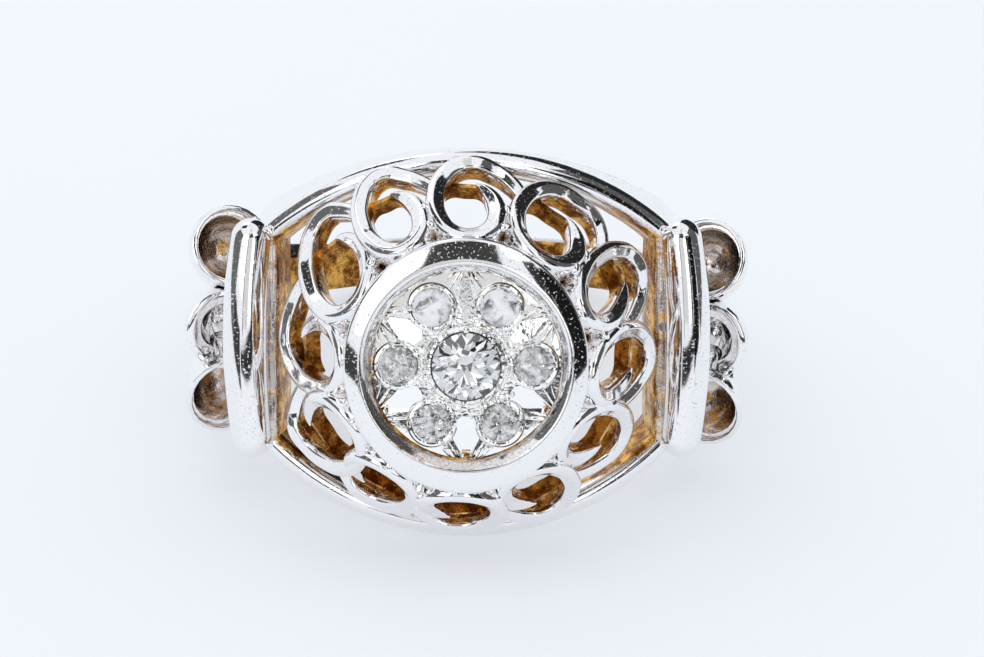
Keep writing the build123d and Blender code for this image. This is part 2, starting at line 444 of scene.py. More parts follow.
galleryShape = {
    "halfWidth": 7.6, "halfLength": 7.55, "bowRadius": 11.3, "railWall": 0.9, "sideWall": 0.5, "rise": 1.05,
    "archRadius": 20.0, "wallDepth": 6.0, "railReach": 8.05, "railSpare": 0.4, "railSlope": 0.4,
    "plateReach": 4.1, "boreBare": 0.8,
}


def archFront(across):
    # how far the front of the gallery stands out from the finger axis
    arch = galleryShape["archRadius"]
    return fingerHole + galleryShape["rise"] - arch + sqrt(arch**2 - across**2)


def railMiddle(across):
    shape = galleryShape
    bow = shape["bowRadius"] - shape["railWall"] / 2
    return shape["halfLength"] - shape["bowRadius"] + sqrt(bow**2 - across**2)


def cutFingerHole(piece):
    return cutWith(piece, drum(fingerHole, 40, 256))


def makeRail():
    shape = galleryShape
    half = shape["railWall"] / 2
    depth = shape["wallDepth"]
    slope = shape["railSlope"]
    # a soft round back that leans to the outside, and an inner wall that slopes in
    section = [
        (-half, -depth), (-half, -0.75), (-half - 0.01, -0.5), (-0.43, -0.33), (-0.36, -0.20), (-0.26, -0.11),
        (-0.13, -0.04), (0.0, -0.01), (0.12, -0.02), (0.25, -0.07), (0.36, -0.16), (0.43, -0.28),
        (half, -0.45), (half + slope * 0.2, -0.8), (half + slope * 0.55, -1.2), (half + slope, -2.0),
        (half + slope, -depth),
    ]
    reach = shape["railReach"] + shape["railSpare"]
    stations = 17
    points = []
    for step in range(stations):
        across = reach * (2 * step / (stations - 1) - 1)
        points.append((across, railMiddle(across), archFront(across), 1))
    profile = profileCurve(section, smooth=False)
    rail = sweep(points, profile, 6)
    bpy.data.objects.remove(profile)
    cutWith(rail, box((0, 0, 0), (2 * shape["railReach"], 30, 40)), "INTERSECT")  # trims the ends square
    placeBy(rail, crownFacing)
    cutFingerHole(rail)

    def inner(point, normal):
        if normal.z > 0.1:
            return 0.0
        if inBore(point):
            return shape["boreBare"]
        deep = archFront(point.x) + point.y
        corner = 0.4 * max(0.0, abs(point.x) - 4.2)  # the plating is thinnest in the corners of the frame
        return (deep - 0.35 + corner) * 1.4 * max(0.0, -normal.z)

    markInside(rail, inner)
    return rail


def makeSidePlate():
    shape = galleryShape
    middle = shape["halfWidth"] - shape["sideWall"] / 2
    depth = shape["wallDepth"]
    half = shape["sideWall"] / 2
    # the plate runs up the finger axis, so +X of its section is the outer side of the right plate
    section = [
        (half * 2, -depth), (half * 2, -0.6), (half * 1.9, -0.35), (half * 1.6, -0.17), (half * 1.1, -0.06),
        (half * 0.5, 0), (-half * 0.1, -0.03), (-half * 0.45, -0.12), (-half * 0.65, -0.28),
        (-half * 0.9, -0.5), (-half * 1.2, -0.8), (-half * 1.7, -1.3), (-half * 2, -2.0), (-half * 2, -depth),
    ]
    top = archFront(middle) + 0.02
    reach = shape["plateReach"]
    # a faint waist and a break in the ridge, as filed by hand
    points = [
        (middle, -reach, top - 0.1, 1), (middle, -3.0, top, 1), (middle, -1.0, top, 1),
        (middle, 0.2, top, 1.02), (middle, 1.2, top + 0.02, 1.04), (middle, 2.6, top, 1),
        (middle, reach, top - 0.1, 1),
    ]
    profile = profileCurve(section, smooth=False)
    plate = sweep(points, profile, 8)
    bpy.data.objects.remove(profile)
    placeBy(plate, crownFacing)
    cutFingerHole(plate)

    def inner(point, normal):
        deep = top + point.y
        return shape["boreBare"] if inBore(point) else 0.47 + (deep - 0.04) * 2.6 * max(0.0, -normal.x + 0.25)

    markInside(plate, inner)
    return plate


sidePlates = bothSides(makeSidePlate())
topRail = makeRail()
bottomRail = placeBy(duplicate(topRail), Matrix.Rotation(pi, 4, "Y"))
finishMount(joinAll([topRail, bottomRail, sidePlates]), "gallery_frame")
print("gallery frame made")


# Rolls: polished bars across the shoulders

rollShape = {
    "radius": 0.88, "length": 9.4, "across": 8.53, "height": 8.1, "bow": 0.42, "endShare": 0.9,
    "bowLean": 58,  # degrees from the front towards the outside
}


def makeRoll():
    shape = rollShape
    radius = shape["radius"]
    endRadius = radius * shape["endShare"]
    half = shape["length"] / 2
    straight = half - endRadius
    capSteps, barSteps = 9, 24
    profile = [(0, -half)]
    for step in range(1, capSteps + 1):
        turn = pi / 2 * step / capSteps
        profile.append((endRadius * sin(turn), -straight - endRadius * cos(turn)))
    for step in range(1, barSteps):
        along = 2 * step / barSteps - 1
        # fullest in the middle
        profile.append((radius - (radius - endRadius) * abs(along) ** 2.2, along * straight))
    for step in range(capSteps):
        turn = pi / 2 * step / capSteps
        profile.append((endRadius * cos(turn), straight + endRadius * sin(turn)))
    profile.append((0, half))
    bar = lathe(profile, 56)
    bend = 2 * asin(2 * shape["bow"] * half / (half**2 + shape["bow"] ** 2))
    applyModifier(bar, "SIMPLE_DEFORM", deform_method="BEND", angle=bend, deform_axis="X")
    return bar


def levelRoll(bar):
    # the bend may lean either way, so the bar is turned until its middle is its front
    shape = rollShape
    ends = [point.co.y for point in bar.data.vertices if abs(point.co.z) > shape["length"] / 2 - 0.9]
    middle = [point.co.y for point in bar.data.vertices if abs(point.co.z) < 0.3]
    if sum(ends) / len(ends) < sum(middle) / len(middle):
        placeBy(bar, Matrix.Rotation(pi, 4, "Z"))
    placeBy(bar, Matrix.Rotation(radians(shape["bowLean"]), 4, "Z"))
    front = min(point.co.y for point in bar.data.vertices)
    side = max(point.co.x for point in bar.data.vertices)
    target = Vector((shape["across"] + shape["radius"], -shape["height"] - shape["radius"], 0))
    placeBy(bar, Matrix.Translation(target - Vector((side, front, 0))))
    return bar


roll = markInside(levelRoll(makeRoll()), lambda point, normal: 0.0)
finishMount(bothSides(roll), "rolls", 60)
print("rolls made")


# Shoulder blocks under the rolls

shoulderShape = {"inner": 7.1, "outer": 8.75, "front": 7.55, "depth": 2.65, "halfLength": 3.75, "edge": 0.18}


def makeShoulder():
    shape = shoulderShape
    middle = ((shape["inner"] + shape["outer"]) / 2, shape["depth"] / 2 - shape["front"], 0)
    size = (shape["outer"] - shape["inner"], shape["depth"], 2 * shape["halfLength"])
    block = box(middle, size)
    editMode()
    bpy.ops.mesh.select_all(action="SELECT")
    bpy.ops.mesh.bevel(offset=shape["edge"], segments=3, affect="EDGES")
    objectMode()
    cutFingerHole(block)
    return markInside(block, lambda point, normal: 0.75 if point.x < shape["inner"] + 0.1 else 0.2)


finishMount(bothSides(makeShoulder()), "shoulders")
print("shoulders made")


# Gadroons: three tapering flutes on each shoulder, with open cups at the crown end

gadroonShape = {
    "mouthAngle": 62.0, "radius": 1.6, "spacing": 2.97, "shift": -0.16, "lift": 0.36, "twist": 1.6,
    # one row a flute: lane, angle back from the line of the mouths, share of the mouth's size, rim, ledge and
    # how bare the metal of its cup is
    "lanes": (
        (-1, 0.0, 1.05, 0.22, 0.1, 0.5), (-0.13, 1.6, 1.0, 0.3, 0.3, 0.12), (1, 0.0, 1.0, 0.2, 0.1, 0.43),
    ),
    # angle back from the mouth, and shares of the radius, spacing and lift
    "stations": (
        (0.0, 1.00, 1.00, 1.0), (3.0, 0.95, 0.93, 1.05), (12.0, 0.70, 0.64, 1.0), (28.0, 0.52, 0.42, 0.9),
        (48.0, 0.45, 0.25, 0.9), (68.0, 0.40, 0.13, 0.4), (88.0, 0.30, 0.07, 0.4),
    ),
    # the cup: width and swell of the lip's edge, its fall to the ledge, depth of the ledge, width of its edge
    "lipEdge": 0.06, "lipSwell": 0.05, "lipRound": 0.05, "fall": 0.08, "ledgeDepth": 0.2, "ledgeEdge": 0.04,
    # the bowl: steps inward, and how much each one narrows it
    "bowl": ((0.3, 0.97), (0.4, 0.92), (0.35, 0.84), (0.25, 0.72), (0.16, 0.55), (0.08, 0.4)),
}


def hoopPoint(angle, radius, along):
    turn = radians(angle)
    return (radius * sin(turn), -radius * cos(turn), along)


def makeFlute(lane, setBack, mouthShare, rim, ledge, bareness):
    shape = gadroonShape
    points = []
    for number, (angle, radiusShare, spacingShare, liftShare) in enumerate(shape["stations"]):
        share = radiusShare * (mouthShare if number == 0 else 1)
        centre = fingerHole + shape["radius"] * radiusShare + shape["lift"] * liftShare
        along = lane * shape["spacing"] * spacingShare + shape["shift"] * spacingShare
        points.append((*hoopPoint(shape["mouthAngle"] + setBack + angle, centre, along), share))
    flute = sweep(points, shape["radius"], 7)
    mouth = Vector(points[0][:3])
    ahead = (mouth - Vector(points[1][:3])).normalized()
    # the cup: a rolled rim, a ledge, and a bowl that narrows as it goes in
    selectFaces(flute, lambda face: face.normal.dot(ahead) > 0.98 and (face.center - mouth).length < 1.7)
    bpy.ops.mesh.dissolve_faces()
    into = -ahead
    insetFaces(shape["lipEdge"])
    shiftFaces(ahead * shape["lipSwell"])
    insetFaces(rim - 0.1)
    insetFaces(shape["lipRound"])
    shiftFaces(into * shape["fall"])
    pullFaces(into * shape["ledgeDepth"])
    insetFaces(ledge)
    insetFaces(shape["ledgeEdge"])
    shiftFaces(into * shape["fall"])
    for step, shrink in shape["bowl"]:
        pullFaces(into * step)
        bpy.ops.transform.resize(value=(shrink,) * 3)
    bpy.ops.mesh.select_mode(type="VERT")
    objectMode()

    def bowl(point, normal):
        offset = point - mouth
        deep = -offset.dot(ahead)
        inward = normal.dot(ahead) > 0.5 or normal.dot(offset + ahead * deep) < -0.3
        near = 0.05 < deep < 2.2 and offset.length < 2.6
        return min(bareness, (deep - 0.1) * 0.7) if inward and near else 0.0

    return markInside(flute, bowl)


gadroons = bothSides(joinAll([makeFlute(*lane) for lane in gadroonShape["lanes"]]))
# the hoop sits a little askew to the crown
placeBy(gadroons, Matrix.Rotation(radians(gadroonShape["twist"]), 4, "Y"))
finishMount(gadroons, "gadroons", 40)
print("gadroons made")


# Hoop: the liner of the finger hole and the plain back of the band

hoopShape = {
    "linerWall": 0.58, "linerInset": 0.35, "linerFront": 8.1, "linerHalf": 2.92,
    "bandWall": 1.23, "bandHalfWidth": 0.85, "bandStart": 100.0,
}


def makeLiner():
    shape = hoopShape
    flutes = gadroonShape
    front = -fingerHole * cos(radians(flutes["mouthAngle"]))
    edge = [(-shape["linerFront"], shape["linerHalf"]), (front, shape["linerHalf"])]
    for angle, radiusShare, spacingShare, liftShare in flutes["stations"][2:]:
        back = -fingerHole * cos(radians(flutes["mouthAngle"] + angle))
        reach = flutes["spacing"] * spacingShare + flutes["radius"] * radiusShare - shape["linerInset"]
        edge.append((back, reach))
    outline = edge + [(back, -reach) for back, reach in reversed(edge)]
    outer = fingerHole + shape["linerWall"]
    wall = lathe([(fingerHole, -6), (outer, -6), (outer, 6), (fingerHole, 6)], 192, closed=True)
    side = slab(outline, -12, 12)
    # the side view is drawn in X and Y, and turned to Y and Z
    placeBy(side, Matrix(((0, 0, 1, 0), (1, 0, 0, 0), (0, 1, 0, 0), (0, 0, 0, 1))))
    outwardNormals(side)
    cutWith(wall, side, "INTERSECT")
    # the gallery is open from the crown to the finger
    opening = 2 * (galleryShape["halfWidth"] - galleryShape["sideWall"])
    cutWith(wall, box((0, -10, 0), (opening, 20, 20)))
    return markInside(wall, lambda point, normal: 0.85 if inBore(point, 0.02) else 0.3)


def makeBand():
    shape = hoopShape
    inner = fingerHole
    outer = inner + shape["bandWall"]
    half = shape["bandHalfWidth"]
    section = [
        (inner, -half + 0.08), (inner + 0.08, -half), (outer - 0.3, -half), (outer - 0.12, -half + 0.07),
        (outer - 0.02, -half + 0.26), (outer, 0), (outer - 0.02, half - 0.26), (outer - 0.12, half - 0.07),
        (outer - 0.3, half), (inner + 0.08, half), (inner, half - 0.08),
    ]
    reach = radians(360 - 2 * shape["bandStart"])
    band = lathe(section, 96, turn=reach, closed=True)
    # the spin runs clockwise from +X, and the band lies at the back
    placeBy(band, Matrix.Rotation(radians(270 - shape["bandStart"]), 4, "Z"))
    return markInside(band, lambda point, normal: 0.72 if inBore(point, 0.2) else 0.0)


finishMount(joinAll([makeLiner(), makeBand()]), "hoop")
print("hoop made")


# Bezel: round seat inside, oval outside

bezelShape = {
    "crown": 13.8, "halfWidth": 4.67, "halfLength": 4.94, "round": 4.8, "seatEdge": 4.1,
    # radius and height from the crown's front, round the inside, over the band and down the wall
    "section": (
        (3.45, -1.79), (3.45, -1.32), (3.93, -1.30), (3.93, -0.50), (3.70, -0.445), (3.635, -0.43),
        (3.62, -0.40), (3.64, -0.365), (3.72, -0.28), (3.83, -0.17), (3.93, -0.07), (3.985, -0.025),
        (4.04, 0.0), (4.10, 0.0), (4.17, -0.018), (4.70, -0.195), (4.755, -0.225), (4.785, -0.28),
        (4.798, -0.36), (4.8, -0.5), (4.8, -0.9), (4.8, -1.3), (4.8, -1.79),
    ),
}


def makeBezel():
    shape = bezelShape
    ring = lathe(shape["section"], 160, closed=True)
    for point in ring.data.vertices:
        reach = hypot(point.co.x, point.co.y)
        # the band widens from the round seat to the oval wall
        share = max(0.0, min(1.0, (reach - shape["seatEdge"]) / (shape["round"] - shape["seatEdge"])))
        point.co.x *= 1 + share * (shape["halfWidth"] / shape["round"] - 1)
        point.co.y *= 1 + share * (shape["halfLength"] / shape["round"] - 1)

    def inner(point, normal):
        reach = hypot(point.x, point.y)
        if reach < 4.06:
            # the funnel is worn thin at its foot; the bare band is wider towards the lower left
            lowLeft = max(0.0, -(point.x + 1.6 * point.y) / reach)
            return 0.08 + 0.16 * lowLeft + max(0.0, -0.27 - point.z) * 3.2
        return (-0.8 - point.z) * 1.2

    markInside(ring, inner)
    return placeBy(ring, Matrix.Translation((0, -shape["crown"], 0)) @ crownFacing)


finishMount(makeBezel(), "bezel", 40)
print("bezel made")


# Scrolls: twelve pinwheel loops between the bezel and the gallery frame

scrollShape = {
    "bezelHalfWidth": 4.68, "bezelHalfLength": 4.95,  # the oval that the loops start from
    "bezelBite": 0.2, "drop": 0.3, "stand": 0.2, "halfWire": 0.35, "join": 0.07,
    # the wire's section: across, positive to the outside of the loop, and down from its ridge
    "section": (
        (0.06, 0.0), (0.16, -0.02), (0.25, -0.06), (0.31, -0.13), (0.35, -0.26), (0.35, -0.50),
        (0.33, -0.78), (0.26, -1.0), (0.1, -1.05), (-0.1, -1.05), (-0.28, -1.0), (-0.35, -0.8),
        (-0.37, -0.5), (-0.37, -0.32), (-0.35, -0.22), (-0.31, -0.16), (-0.24, -0.12), (-0.12, -0.07),
        (-0.02, -0.025),
    ),
    # one row a scroll: angle round the bezel, shares of the even width, bezel radius and frame radius, its
    # turn, and how far its arm bows out on the way to the next loop
    "rows": (
        (145.2, 1.04, 1.05, 0.95, -18, 0.10), (118.1, 0.84, 1.08, 1.06, 0, 0.10),
        (89.6, 0.92, 1.04, 1.07, 0, 0.14), (57.0, 1.05, 1.08, 0.99, 0, 0.26),
        (25.7, 0.87, 1.11, 0.94, 0, 0.20), (-4.1, 0.98, 1.10, 1.01, 0, 0.15),
        (-33.1, 0.97, 1.05, 0.90, 0, 0.15), (-62.6, 0.97, 1.03, 1.04, 0, 0.15),
        (-92.0, 1.05, 1.09, 1.05, 0, 0.15), (-123.7, 1.06, 1.10, 0.99, 0, 0.15),
        (-149.5, 1.08, 1.10, 0.93, 0, 0.15), (180.0, 1.02, 1.08, 1.0, 0, 0.12),
    ),
    # where the arm leaves its loop, and where it meets the next one
    "armFrom": (0.30, 0.99, 0.0), "armTo": (-0.97, 0.42, -0.5),
    # the run of the wire: shares of the half width and half length, depth, and share of the wire's size
    "run": (
        (-0.30, 0.93, 0.0, 0.92), (-0.76, 0.62, 0.0, 0.98), (-1.00, 0.08, 0.0, 1.02),
        (-0.88, -0.50, 0.0, 1.04), (-0.44, -0.90, 0.0, 1.06), (0.16, -1.00, 0.0, 1.06),
        (0.66, -0.84, -0.02, 1.08), (0.93, -0.46, -0.05, 1.08), (0.88, -0.08, -0.10, 0.98),
        (0.68, 0.20, -0.16, 0.78), (0.46, 0.36, -0.22, 0.48), (0.28, 0.44, -0.28, 0.14),
    ),
    # a tall thin wall ties the tip of the wire to the far side of the loop
    "web": (
        (0.62, 0.22, -0.34), (0.34, 0.42, -0.42), (-0.08, 0.50, -0.52), (-0.50, 0.56, -0.62),
        (-0.85, 0.45, -0.7),
    ),
    "webWidth": 0.2, "webDepth": 0.6,
}


def frameRadius(angle):
    shape = galleryShape
    turn = radians(angle)
    shift = shape["bowRadius"] - shape["halfLength"]
    bow = shape["bowRadius"] - shape["railWall"] / 2
    toRail = sqrt(bow**2 - (shift * cos(turn)) ** 2) - shift * abs(sin(turn))
    toSide = (shape["halfWidth"] - shape["sideWall"] / 2) / abs(cos(turn))
    return min(toRail, toSide)


def bezelRadius(angle):
    turn = radians(angle)
    return 1 / hypot(cos(turn) / scrollShape["bezelHalfWidth"], sin(turn) / scrollShape["bezelHalfLength"])


def scrollSpace(angle, widthShare, innerShare, outerShare, lean, armBow):
    # the sloping plane of one scroll: X clockwise, Y outward down the dome, Z out of it
    shape = scrollShape
    turn = radians(angle)
    innerReach = innerShare * bezelRadius(angle) - shape["bezelBite"]
    outerReach = outerShare * frameRadius(angle)
    front = archFront(outerReach * cos(turn)) + shape["stand"]
    away = Vector((cos(turn), 0, sin(turn)))
    inner = away * innerReach + Vector((0, shape["drop"] - bezelShape["crown"], 0))
    outer = away * outerReach + Vector((0, -front, 0))
    outward = (outer - inner).normalized()
    clockwise = outward.cross(Vector((0, -1, 0))).normalized()
    facing = clockwise.cross(outward)
    middle = (inner + outer) / 2
    space = Matrix.Translation(middle) @ Matrix((clockwise, outward, facing)).transposed().to_4x4()
    space = space @ Matrix.Rotation(radians(lean), 4, "Z")
    pitch = pi * (innerReach + outerReach) / len(shape["rows"])
    halfWidth = widthShare * pitch / 2 - shape["halfWire"] + shape["join"]
    halfLength = (outer - inner).length / 2 - shape["halfWire"]
    return space, halfWidth, halfLength, armBow


def scrollPairs():
    # each scroll, with the one that its arm runs to
    scrolls = [scrollSpace(*row) for row in scrollShape["rows"]]
    return zip(scrolls, scrolls[1:] + scrolls[:1])


def makeWeb(halfWidth, halfLength):
    shape = scrollShape
    half = shape["webWidth"] / 2
    depth = shape["webDepth"]
    profile = profileCurve([(-half, 0), (half, 0), (half, -depth), (-half, -depth)], smooth=False)
    path = [(across * halfWidth, outward * halfLength, down, 1) for across, outward, down in shape["web"]]
    web = sweep(path, profile, 6)
    bpy.data.objects.remove(profile)
    return markInside(web, lambda point, normal: 0.8)


def makeScrolls():
    shape = scrollShape
    profile = profileCurve(shape["section"], True, 2)
    scrolls = []
    for (space, halfWidth, halfLength, armBow), (nextSpace, nextWidth, nextLength, _) in scrollPairs():
        run = [(x * halfWidth, y * halfLength, depth, share) for x, y, depth, share in shape["run"]]
        across, outward, depth = shape["armFrom"]
        leave = Vector((across * halfWidth, outward * halfLength, depth))
        across, outward, depth = shape["armTo"]
        meet = space.inverted() @ nextSpace @ Vector((across * nextWidth, outward * nextLength, depth))
        bow = Vector((0.35, 1, 0)).normalized() * armBow * (meet - leave).length
        arm = [
            (*meet, 0.72), (*leave.lerp(meet, 0.72) + bow * 0.85, 0.8),
            (*leave.lerp(meet, 0.4) + bow, 0.86), (*leave, 0.9),
        ]
        wire = sweep(arm + run, profile, 7)
        tops = [Vector(point[:3]) for point in arm + run]

        def deep(point, normal):
            nearest = min(tops, key=lambda top: hypot(point.x - top.x, point.y - top.y))
            inward = -(normal.x * point.x / halfWidth + normal.y * point.y / halfLength)
            below = nearest.z - point.z - 0.24
            return below * (2.2 if inward > 0 else 0.5)

        markInside(wire, deep)
        loop = joinAll([wire, makeWeb(halfWidth, halfLength)])
        placeBy(loop, space)
        scrolls.append(loop)
    bpy.data.objects.remove(profile)
    return joinAll(scrolls)


finishMount(makeScrolls(), "scrolls", 50)
print("scrolls made")


# Solder: small drops of metal where loop meets loop and bezel

solderShape = {"radius": 0.24, "seed": 7, "outward": (-0.72, -0.30)}


def makeSolder():
    shape = solderShape
    chance = random.Random(shape["seed"])
    spots = []
    for (space, halfWidth, halfLength, _), (nextSpace, nextWidth, nextLength, _) in scrollPairs():
        for outward in shape["outward"]:
            bulge = sqrt(1 - outward**2)
            here = space @ Vector((halfWidth * bulge + 0.1, halfLength * outward, -0.22))
            there = nextSpace @ Vector((-nextWidth * bulge - 0.1, nextLength * outward, -0.22))
            spots.append(((here + there) / 2, (here - there).length))
        spots.append((space @ Vector((0.15 * halfWidth, -halfLength - 0.25, -0.3)), 0.5))
    drops = []
    for spot, gap in spots:
        if gap > 1.3:
            continue
        size = shape["radius"] * chance.uniform(0.75, 1.1)
        turns = (chance.uniform(0, pi), chance.uniform(0, pi), 0)
        drops.append(bead(spot, size, turns, (1.3, 0.8, 0.9), 3))
    return markInside(joinAll(drops), lambda point, normal: 0.0)


finishMount(makeSolder(), "solder", 60)
print("solder made")


# Star plate: seven seats, six scooped drops, engraved rays and raised grains

plateShape = {
    "crownDrop": 0.45, "radius": 3.86, "thickness": 0.74, "centreRadius": 1.3, "sideRadius": 0.73,
    "sideRing": 2.58, "centreRise": 0.3, "sideRise": 0.12, "gap": 0.035, "seed": 11,
    # half of a drop's outline: along from its head, and sideways
    "drop": (
        (0.0, 0.0), (0.03, 0.16), (0.12, 0.32), (0.28, 0.45), (0.50, 0.52), (0.72, 0.50), (0.95, 0.41),
        (1.2, 0.28), (1.45, 0.16), (1.75, 0.07),
    ),
    "dropStart": 1.98, "dropSlope": 13,
    "dropWidths": (0.78, 0.5, 0.9, 0.95, 1.12, 0.9),  # from the one at 2 o'clock, against the clock
    # grooves: sideways at the rim, angle away from the drop, length and width of the graver
    "rimReach": 3.64,
    "grooves": ((0.13, 15, 1.15, 0.085), (0.24, 30, 0.95, 0.10), (0.40, 46, 0.62, 0.075)),
    # low collars of metal pushed up round the stones
    "centreCollar": (
        (1.335, -0.2), (1.70, -0.2), (1.62, 0.02), (1.53, 0.14), (1.44, 0.21), (1.36, 0.23), (1.335, 0.2),
    ),
    "sideCollar": ((0.765, -0.2), (1.02, -0.2), (0.96, 0.01), (0.90, 0.07), (0.82, 0.09), (0.765, 0.07)),
    "centreGrains": 14, "sideGrains": 9, "fieldGrains": 46,
}


def sidePlace(number):
    turn = radians(60 * number)
    return plateShape["sideRing"] * cos(turn), plateShape["sideRing"] * sin(turn)


def layDown(piece, angle):
    # turns a part drawn along +X to its angle round the plate
    return placeBy(piece, Matrix.Rotation(radians(angle), 4, "Z"))


def dropCutter(width):
    # the floor of the cut slopes down to the rim, so each drop catches its own part of the room
    shape = plateShape
    half = [(along, sideways * width) for along, sideways in shape["drop"]]
    outline = half + [(along, -sideways) for along, sideways in reversed(half[1:])]
    tool = slab(outline, 0, 1)
    slope = Matrix.Rotation(radians(shape["dropSlope"]), 4, "Y")
    return placeBy(tool, Matrix.Translation((shape["dropStart"], 0, 0.01)) @ slope)


def grooveCutter(sideways, splay, length, width, side):
    # a square bar laid on its edge, deeper at the rim
    turn = radians(180 - side * splay)
    start = Vector((plateShape["rimReach"], side * sideways, 0))
    middle = start + Vector((cos(turn), sin(turn), 0)) * length / 2
    deselectAll()
    bpy.ops.mesh.primitive_cone_add(vertices=4, radius1=width * 1.1, radius2=width * 0.25, depth=length)
    tool = bpy.context.object
    tool.matrix_world = (
        Matrix.Translation(middle) @ Matrix.Rotation(turn, 4, "Z") @ Matrix.Rotation(pi / 2, 4, "Y")
    )
    return applyPlace(tool)


def seatCutter(radius, rise, across, along):
    # a well for the girdle and a cone for the stone's back
    room = radius + plateShape["gap"]
    back = room * tan(radians(41))
    tool = lathe([(0, -0.03 - back), (room, -0.03), (room, 1.2), (0, 1.2)], 64)
    placeBy(tool, Matrix.Translation((across, along, rise)))
    return tool


def makePlate():
    shape = plateShape
    radius = shape["radius"]
    disc = lathe(
        [(0, -shape["thickness"]), (radius, -shape["thickness"]), (radius, -0.09), (radius - 0.03, -0.05),
         (radius - 0.1, -0.03), (3.3, 0.0), (0, 0.03)], 144
    )
    for number, width in enumerate(shape["dropWidths"]):
        angle = 60 * number + 30
        cutWith(disc, layDown(dropCutter(width), angle))
        for sideways, splay, length, size in shape["grooves"]:
            for side in (-1, 1):
                groove = grooveCutter(sideways * (0.7 + 0.5 * width), splay, length, size, side)
                cutWith(disc, layDown(groove, angle))
    cutWith(disc, seatCutter(shape["centreRadius"], shape["centreRise"], 0, 0))
    for number in range(6):
        across, along = sidePlace(number)
        cutWith(disc, seatCutter(shape["sideRadius"], shape["sideRise"], across, along))
    collars = [lathe(shape["centreCollar"], 72, closed=True)]
    for number in range(6):
        boss = lathe(shape["sideCollar"], 48, closed=True)
        across, along = sidePlace(number)
        collars.append(placeBy(boss, Matrix.Translation((across, along, 0))))
    return joinAll([disc] + collars)


def makeGrains():
    # beads raised with a graver round the stones, none quite alike
    shape = plateShape
    chance = random.Random(shape["seed"])
    grains = []

    def grain(across, along, height, size):
        turns = (chance.uniform(-0.5, 0.5), chance.uniform(-0.5, 0.5), chance.uniform(0, pi))
        shares = (chance.uniform(0.8, 1.25), chance.uniform(0.7, 1.0), chance.uniform(0.9, 1.3))
        grains.append(bead((across, along, height), size, turns, shares, 2))

    for number in range(shape["centreGrains"]):
        turn = 2 * pi * (number + chance.uniform(0.25, 0.75)) / shape["centreGrains"]
        reach = shape["centreRadius"] + 0.1 + chance.uniform(-0.02, 0.06)
        grain(reach * cos(turn), reach * sin(turn), 0.3, chance.uniform(0.1, 0.15))
    for stone in range(6):
        middleAcross, middleAlong = sidePlace(stone)
        for number in range(shape["sideGrains"]):
            turn = 2 * pi * (number + chance.uniform(0.2, 0.8)) / shape["sideGrains"]
            reach = shape["sideRadius"] + 0.07 + chance.uniform(-0.02, 0.04)
            across = middleAcross + reach * cos(turn)
            along = middleAlong + reach * sin(turn)
            if hypot(across, along) > 3.3:
                continue
            grain(across, along, 0.12, chance.uniform(0.08, 0.125))
    for number in range(shape["fieldGrains"]):
        turn = chance.uniform(0, 2 * pi)
        reach = chance.uniform(1.62, 2.1)
        grain(reach * cos(turn), reach * sin(turn), 0.02, chance.uniform(0.07, 0.12))
    return joinAll(grains)


plateGold = {
    "bright": (0.98, 0.98, 0.97, 1), "worn": (0.84, 0.81, 0.77, 1), "darkBrown": (0.30, 0.20, 0.09, 1),
    "roughness": 0.07, "darkBrownRoughness": 0.3, "wornRoughness": 0.08, "chiselDepth": 6e-5, "pitDepth": 3e-6,
}


def plateFinish(name):
    look = plateGold
    finish = Finish(name)
    carved = finish.attribute("carved")
    grit = finish.noise(7.0, 3.0, 0.7)
    cells = finish.cells(5.5, "F1")
    # dark brown where the carved mark is high: close round the stone seats and down the plate's side below
    # the rim
    darkBrown = (carved + (finish.noise(2.3, 4.0, 0.7) - 0.5) * 1.6).between(0.85, 1.15)
    worn = (carved * grit).between(0.35, 0.7)
    colour = finish.blend(darkBrown, finish.blend(worn, look["bright"], look["worn"]), look["darkBrown"])
    chisel = finish.bump(cells * carved, look["chiselDepth"])
    pits = finish.bump(grit, look["pitDepth"], 1.0, chisel)
    roughness = look["roughness"] + darkBrown * look["darkBrownRoughness"] + worn * look["wornRoughness"]
    return finish.done(finish.shade(
        {"Base Color": colour, "Metallic": 1.0, "Roughness": roughness, "Normal": pits}
    ))


def markCarved(piece):
    # rough gravered ground near the stones, smooth fields towards the rim
    layer = piece.data.attributes.new("carved", "FLOAT", "POINT")
    stones = [(0, 0, plateShape["centreRadius"])]
    stones += [(*sidePlace(number), plateShape["sideRadius"]) for number in range(6)]
    for point, mark in zip(piece.data.vertices, layer.data):
        near = max(1 - (hypot(point.co.x - x, point.co.y - y) - radius) / 0.4 for x, y, radius in stones)
        middle = max(0.0, min(1.0, (2.2 - hypot(point.co.x, point.co.y)) / 0.25))
        # the plate's side below the rim is marked as well, and the finish turns it dark brown
        deep = max(0.0, min(1.0, (-0.03 - point.co.z) * 6)) if hypot(point.co.x, point.co.y) > 3.4 else 0.0
        mark.value = max(0.0, min(1.0, max(near * middle, deep, near * 0.2)))


plateMaterial = plateFinish("star_plate_polish")
starPlate = joinAll([makePlate(), makeGrains()])
markCarved(starPlate)
placeBy(starPlate, Matrix.Translation((0, plateShape["crownDrop"] - bezelShape["crown"], 0)) @ crownFacing)
finishPiece(starPlate, "star_plate_carved", plateMaterial, "star_plate", 30)
print("star plate made")


# Stones: brilliants, cut facet by facet

stoneShape = {
    "table": 0.58, "crownSlope": 34.0, "starSlope": 22.0, "upperSlope": 41.0,
    "backSlope": 40.8, "lowerSlope": 42.2, "girdle": 0.06,
}


def cutFacet(angle, slope, reach, height):
    # takes off everything beyond a plane through the point that far out and up; slope 0 faces straight up
    turn = radians(angle)
    lean = radians(slope)
    normal = Vector((sin(lean) * cos(turn), sin(lean) * sin(turn), cos(lean)))
    bpy.ops.mesh.select_all(action="SELECT")
    distance = sin(lean) * reach + cos(lean) * height
    bpy.ops.mesh.bisect(plane_co=normal * distance, plane_no=normal, use_fill=True, clear_outer=True)


